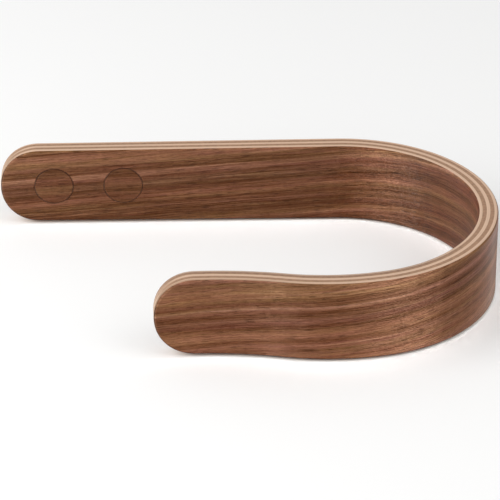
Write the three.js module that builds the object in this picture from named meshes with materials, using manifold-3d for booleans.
// Wall-mounted headphone hook, moulded from seven-ply laminated wood with walnut faces.
// One strip leaves the wall screws as a long straight leg, turns back on itself through a
// wide half-round bend and comes back as a shorter front leg whose tip flares gently outwards.
// Two round walnut caps sit flush over the heads of the two wall screws, each held by a magnet.
//
// Units are millimetres. +X runs along the long leg towards the bend, +Y points into the wall,
// +Z is up, along the strip's width. The origin is on the wall face, half way between the two
// screws, at the middle of the strip's width.

import * as THREE from "three";
import { mergeVertices } from "three/addons/utils/BufferGeometryUtils.js";
import Module from "manifold-3d";

const DEG = Math.PI / 180;
const ROUND_SIDES = 32; // sides of every round piece

const wasm = await Module();
wasm.setup();

// ---- Finishes ------------------------------------------------------------------------------

const LIGHT_PLY = 0xd8bb9c;
const FINISH = {
  walnut: { color: 0x74503a, roughness: 0.55, metalness: 0 },
  longGrain: { color: LIGHT_PLY, roughness: 0.55, metalness: 0 },
  crossGrain: { color: 0xa5846b, roughness: 0.55, metalness: 0 },
  capWalnut: { color: 0x6b4734, roughness: 0.55, metalness: 0 },
  capCore: { color: LIGHT_PLY, roughness: 0.6, metalness: 0 },
  screw: { color: 0xc9c4b8, roughness: 0.35, metalness: 0.9 },
  magnet: { color: 0xb9bcc0, roughness: 0.25, metalness: 1 },
};

// ---- Driving dimensions --------------------------------------------------------------------

// Laminate, listed from the wall face inwards
const VENEER = 0.5; // walnut face veneer, each side
const CORE = [1.35, 1.8, 1.6, 1.8, 1.35]; // core plies, alternately long and cross grained
const GLUE = 0.02; // glue line between two plies
const THICK = 2 * VENEER + CORE.reduce((sum, thick) => sum + thick, 0);
const EDGE_R = 1.1; // rounding of the strip's long edges and ends, on both faces

// Strip outline
const HALF_BEND = 19.2; // half the strip's width at the bend
const HALF_END = 18.2; // half its width towards both ends, before they are rounded
const TAPER_SOFT = 0.1; // rounds the change of taper at the bend
const END_LENGTH = 18; // length of each rounded end
const END_POWER = 2.1; // exponent of the end's curve: 2 is an ellipse, more is fuller
const END_HALF = 1.6; // half the short flat edge that closes each rounded end

// Wall fixing
const SCREW_SPACING = 32;
const TIP_TO_SCREW = 24.6; // from the long leg's rounded end to the nearer screw
const SCREW_X = { left: -SCREW_SPACING / 2, right: SCREW_SPACING / 2 };
const RECESS_R = 9;
const RECESS_DEPTH = 3.1;
const FRONT = -THICK; // y of the long leg's inner face, where the caps show
const FLOOR = FRONT + RECESS_DEPTH; // y of the recess bottom and of the screw head's top

// ---- Centre line of the strip --------------------------------------------------------------

const STRAIGHT = 155.2; // long leg, from its end to the start of the bend
const BEND_R = 64; // to the middle of the laminate, as are all the radii

// turn is +1 for clockwise seen from above, -1 for anticlockwise.
const arc = (radius, degrees, turn = 1) => ({
  length: radius * degrees * DEG,
  curvature: turn / radius,
});
const STRETCHES = [
  { length: STRAIGHT, curvature: 0 },
  arc(BEND_R, 167),
  arc(100, 25), // the bend opens out into the front leg
  arc(160, 13, -1), // reverse curve that turns the tip outwards
  { length: 19.6, curvature: 0 }, // straight tip
];
const LENGTH = STRETCHES.reduce((sum, { length }) => sum + length, 0);
const APEX = STRAIGHT + BEND_R * 90 * DEG; // where the strip is widest

// Place and heading of the centre line at a distance along it from the long leg's end.
function centre(distance) {
  let x = SCREW_X.left - TIP_TO_SCREW;
  let y = -THICK / 2;
  let heading = 0;
  let left = distance;
  for (const { length, curvature } of STRETCHES) {
    const run = Math.min(left, length);
    if (curvature === 0) {
      x += run * Math.cos(heading);
      y += run * Math.sin(heading);
    } else {
      const next = heading - curvature * run;
      x += (Math.sin(heading) - Math.sin(next)) / curvature;
      y += (Math.cos(next) - Math.cos(heading)) / curvature;
      heading = next;
    }
    left -= run;
    if (left <= 0) break;
  }
  return { x, y, heading };
}

// ---- Flat outline of the strip -------------------------------------------------------------

const STEP_STRAIGHT = 40; // greatest length of one facet where the strip is straight
const STEP_BEND = 6; // most degrees turned by one facet in a curve
const END_STEPS = 8; // facets along each rounded end
const END_CLEAR = 2; // no other stations this close to a rounded end

function halfWidth(distance) {
  // 0 at the apex, 1 at either end
  const fromApex =
    distance < APEX ? (APEX - distance) / APEX : (distance - APEX) / (LENGTH - APEX);
  const soft = (v) => Math.sqrt(v * v + TAPER_SOFT * TAPER_SOFT) - TAPER_SOFT;
  const tapered = HALF_BEND - ((HALF_BEND - HALF_END) * soft(fromApex)) / soft(1);
  const toEnd = Math.min(distance, LENGTH - distance);
  const intoEnd = Math.min(1, Math.max(0, 1 - toEnd / END_LENGTH));
  return tapered * Math.pow(1 - Math.pow(intoEnd, END_POWER), 1 / END_POWER);
}

// Distances along the strip where every ply has a row of vertices.
function stations() {
  const found = new Set();
  const add = (distance) => found.add(Math.round(distance * 1e4) / 1e4);
  for (let i = 0; i <= END_STEPS; i++) {
    const fromEnd = END_LENGTH * (1 - Math.cos((i / END_STEPS) * 90 * DEG));
    add(fromEnd);
    add(LENGTH - fromEnd);
  }
  const margin = END_LENGTH + END_CLEAR;
  let start = 0;
  for (const { length, curvature } of STRETCHES) {
    const facets =
      curvature === 0
        ? length / STEP_STRAIGHT
        : (Math.abs(curvature) * length) / (STEP_BEND * DEG);
    const count = Math.max(1, Math.ceil(facets));
    for (let i = 0; i <= count; i++) {
      const distance = start + (length * i) / count;
      if (distance > margin && distance < LENGTH - margin) add(distance);
    }
    start += length;
  }
  return [...found].sort((p, q) => p - q);
}

// The upper half of the outline: x is the distance along the strip, y the half width.
const OUTLINE = stations().map((distance) => {
  return new THREE.Vector2(distance, Math.max(halfWidth(distance), END_HALF));
});

// The outward direction at each outline point; beyond each end lies the mirrored lower half.
const OUTWARD = OUTLINE.map((point, i) => {
  const mirrored = new THREE.Vector2(point.x, -point.y);
  const before = OUTLINE[i - 1] ?? mirrored;
  const after = OUTLINE[i + 1] ?? mirrored;
  const arriving = point.clone().sub(before).normalize();
  const leaving = after.clone().sub(point).normalize();
  const along = arriving.add(leaving).normalize();
  return new THREE.Vector2(-along.y, along.x);
});

// ---- Solids --------------------------------------------------------------------------------

function solid(geometry) {
  // Normals and uvs would keep the vertices along each seam apart.
  geometry.deleteAttribute("normal");
  geometry.deleteAttribute("uv");
  const merged = mergeVertices(geometry, 1e-4);
  const made = new wasm.Manifold(
    new wasm.Mesh({
      numProp: 3,
      vertProperties: new Float32Array(merged.attributes.position.array),
      triVerts: new Uint32Array(merged.index.array),
    }),
  );
  if (made.volume() < 0) throw new Error("a solid faces inwards");
  return made;
}

function geometryOf(made) {
  const { vertProperties, triVerts } = made.getMesh();
  const geometry = new THREE.BufferGeometry();
  const positions = new THREE.BufferAttribute(new Float32Array(vertProperties), 3);
  geometry.setAttribute("position", positions);
  geometry.setIndex(new THREE.BufferAttribute(new Uint32Array(triVerts), 1));
  geometry.computeVertexNormals();
  return geometry;
}

// A turned solid about the Y axis, from [radius, y] pairs that run towards the wall.
function turned(profile) {
  const points = profile.map(([radius, y]) => new THREE.Vector2(radius, y));
  return new THREE.LatheGeometry(points, ROUND_SIDES);
}

// A round disc about the Y axis between two y values.
function disc(radius, from, to) {
  const geometry = new THREE.CylinderGeometry(radius, radius, to - from, ROUND_SIDES);
  return geometry.translate(0, (from + to) / 2, 0);
}

function addMesh(parent, name, geometry, finish) {
  const mesh = new THREE.Mesh(geometry, new THREE.MeshStandardMaterial(finish));
  mesh.name = name;
  parent.add(mesh);
  return mesh;
}

// ---- Wall screws: countersunk head with a cross recess, plain neck, threaded part, point ---

const HEAD_R = 4;
const HEAD_RIM = 0.3; // straight rim above the countersink
const SHANK_R = 1.45; // plain shank under the head
const PLAIN_LENGTH = 6;
const SHANK_FLARE = 0.5; // last part of the plain shank, widening to the thread
const THREAD_R = 2; // the thread is a plain cylinder
const SCREW_LENGTH = 30;
const POINT_LENGTH = 5;

// Each blade of the cross is a four-sided taper, flattened in z. Radii are to its corners.
const BLADE = { innerR: 1.55, outerR: 2.55, flatten: 0.26, depth: 1.8, proud: 0.5 };

function crossBlade(turn) {
  const { innerR, outerR, flatten, depth, proud } = BLADE;
  const blade = new THREE.CylinderGeometry(innerR, outerR, depth + proud, 4, 1);
  blade.rotateY(45 * DEG);
  blade.scale(1, 1, flatten);
  blade.rotateY(turn);
  blade.translate(0, FLOOR + (depth - proud) / 2, 0);
  return solid(blade);
}

function screwGeometry() {
  const cone = FLOOR + HEAD_RIM;
  const neck = cone + (HEAD_R - SHANK_R); // 45 degree countersink
  const thread = neck + PLAIN_LENGTH;
  const end = FLOOR + SCREW_LENGTH;
  const profile = [
    [0, FLOOR],
    [HEAD_R, FLOOR],
    [HEAD_R, cone],
    [SHANK_R, neck],
    [SHANK_R, thread - SHANK_FLARE],
    [THREAD_R, thread],
    [THREAD_R, end - POINT_LENGTH],
    [0, end],
  ];
  let screw = solid(turned(profile));
  for (const turn of [0, 90 * DEG]) screw = screw.subtract(crossBlade(turn));
  return geometryOf(screw);
}

// ---- Screw holes: cap recess, countersink and clearance hole, as one cutter ----------------

const HOLE_R = 2.25;
const SEAT_GAP = 0.1; // between the head and its seat
const CUT_OVER = 1; // how far the cutter runs past both faces

function holeCutter(x) {
  const seatR = HEAD_R + SEAT_GAP;
  const seatY = FLOOR + HEAD_RIM + SEAT_GAP;
  const profile = [
    [0, FRONT - CUT_OVER],
    [RECESS_R, FRONT - CUT_OVER],
    [RECESS_R, FLOOR],
    [seatR, FLOOR],
    [seatR, seatY],
    [HOLE_R, seatY + (seatR - HOLE_R)],
    [HOLE_R, CUT_OVER],
    [0, CUT_OVER],
  ];
  return solid(turned(profile).translate(x, 0, 0));
}

// ---- Laminate: two walnut faces and five core plies ----------------------------------------

const ROUNDING_DEPTHS = [0.15, 0.8, EDGE_R]; // vertex rows in the rounding, from either face
const ROW_CLEAR = 0.05; // no such row this close to a ply's own faces

// How far the outline is drawn in at a depth, where the strip's edge is rounded.
function drawnIn(depth) {
  const rise = EDGE_R - Math.min(depth, THICK - depth);
  return rise > 0 ? EDGE_R - Math.sqrt(EDGE_R * EDGE_R - rise * rise) : 0;
}

// Depths of a ply's vertex rows: its faces, and the places between that follow the rounding.
function rows(from, to) {
  const between = ROUNDING_DEPTHS.flatMap((depth) => [depth, THICK - depth]).filter(
    (depth) => depth > from + ROW_CLEAR && depth < to - ROW_CLEAR,
  );
  return [from, ...between, to].sort((p, q) => p - q);
}

// One ply: a box with a row of vertices at each station, bent along the centre line.
// from and to are depths in from the outer (wall) face.
function bentPly(from, to) {
  const columns = OUTLINE.length - 1;
  const depths = rows(from, to);
  const layers = depths.length - 1;
  const geometry = new THREE.BoxGeometry(1, 1, 1, columns, layers, 1);
  const position = geometry.attributes.position;
  for (let i = 0; i < position.count; i++) {
    const column = Math.round((position.getX(i) + 0.5) * columns);
    const depth = depths[Math.round((0.5 - position.getY(i)) * layers)];
    const flat = OUTLINE[column].clone().addScaledVector(OUTWARD[column], -drawnIn(depth));
    const { x, y, heading } = centre(flat.x);
    const offset = THICK / 2 - depth;
    position.setXYZ(
      i,
      x - Math.sin(heading) * offset,
      y + Math.cos(heading) * offset,
      Math.sign(position.getZ(i)) * flat.y,
    );
  }
  return solid(geometry);
}

function addLaminate(parent) {
  const plies = new THREE.Group();
  parent.add(plies);
  const layers = [
    ["outer_face_veneer", VENEER, FINISH.walnut],
    ...CORE.map((thick, i) => {
      const grain = i % 2 === 0 ? "long" : "cross";
      return [`core_ply_${i + 1}_${grain}_grain`, thick, FINISH[`${grain}Grain`]];
    }),
    ["inner_face_veneer", VENEER, FINISH.walnut],
  ];
  const cutters = Object.values(SCREW_X).map(holeCutter);
  let depth = 0;
  layers.forEach(([name, thick, finish], i) => {
    // Each ply gives up half a glue line wherever it meets another.
    const from = depth + (i === 0 ? 0 : GLUE / 2);
    const to = depth + thick - (i === layers.length - 1 ? 0 : GLUE / 2);
    let ply = bentPly(from, to);
    for (const cutter of cutters) ply = ply.subtract(cutter);
    addMesh(plies, name, geometryOf(ply), finish);
    depth += thick;
  });
}

// ---- Caps: walnut face disc on a light disc, with a magnet let into the back ---------------

const CAP_R = 8.85;
const CAP_THICK = 2.9;
const MAGNET_R = 4;
const MAGNET_THICK = 1.5;
const MAGNET_FIT = 0.1; // all round the magnet, and between it and the pocket's floor

function addCap(parent, side, x) {
  const cap = new THREE.Group();
  cap.position.x = x;
  parent.add(cap);

  const back = FRONT + CAP_THICK;
  const joint = FRONT + VENEER;
  const pocketFloor = back - MAGNET_THICK - MAGNET_FIT;
  const pocket = disc(MAGNET_R + MAGNET_FIT, pocketFloor, back + CUT_OVER);
  const core = solid(disc(CAP_R, joint + GLUE / 2, back)).subtract(solid(pocket));
  const veneer = disc(CAP_R, FRONT, joint - GLUE / 2);
  const magnet = disc(MAGNET_R, back - MAGNET_THICK, back);

  addMesh(cap, `cap_${side}_veneer`, veneer, FINISH.capWalnut);
  addMesh(cap, `cap_${side}_core`, geometryOf(core), FINISH.capCore);
  addMesh(cap, `cap_${side}_magnet`, magnet, FINISH.magnet);
}

// ---- Assembly ------------------------------------------------------------------------------

const group = new THREE.Group();
group.name = "headphone_hook";

addLaminate(group);
for (const [side, x] of Object.entries(SCREW_X)) {
  addMesh(group, `screw_${side}`, screwGeometry(), FINISH.screw).position.x = x;
  addCap(group, side, x);
}

export default group;
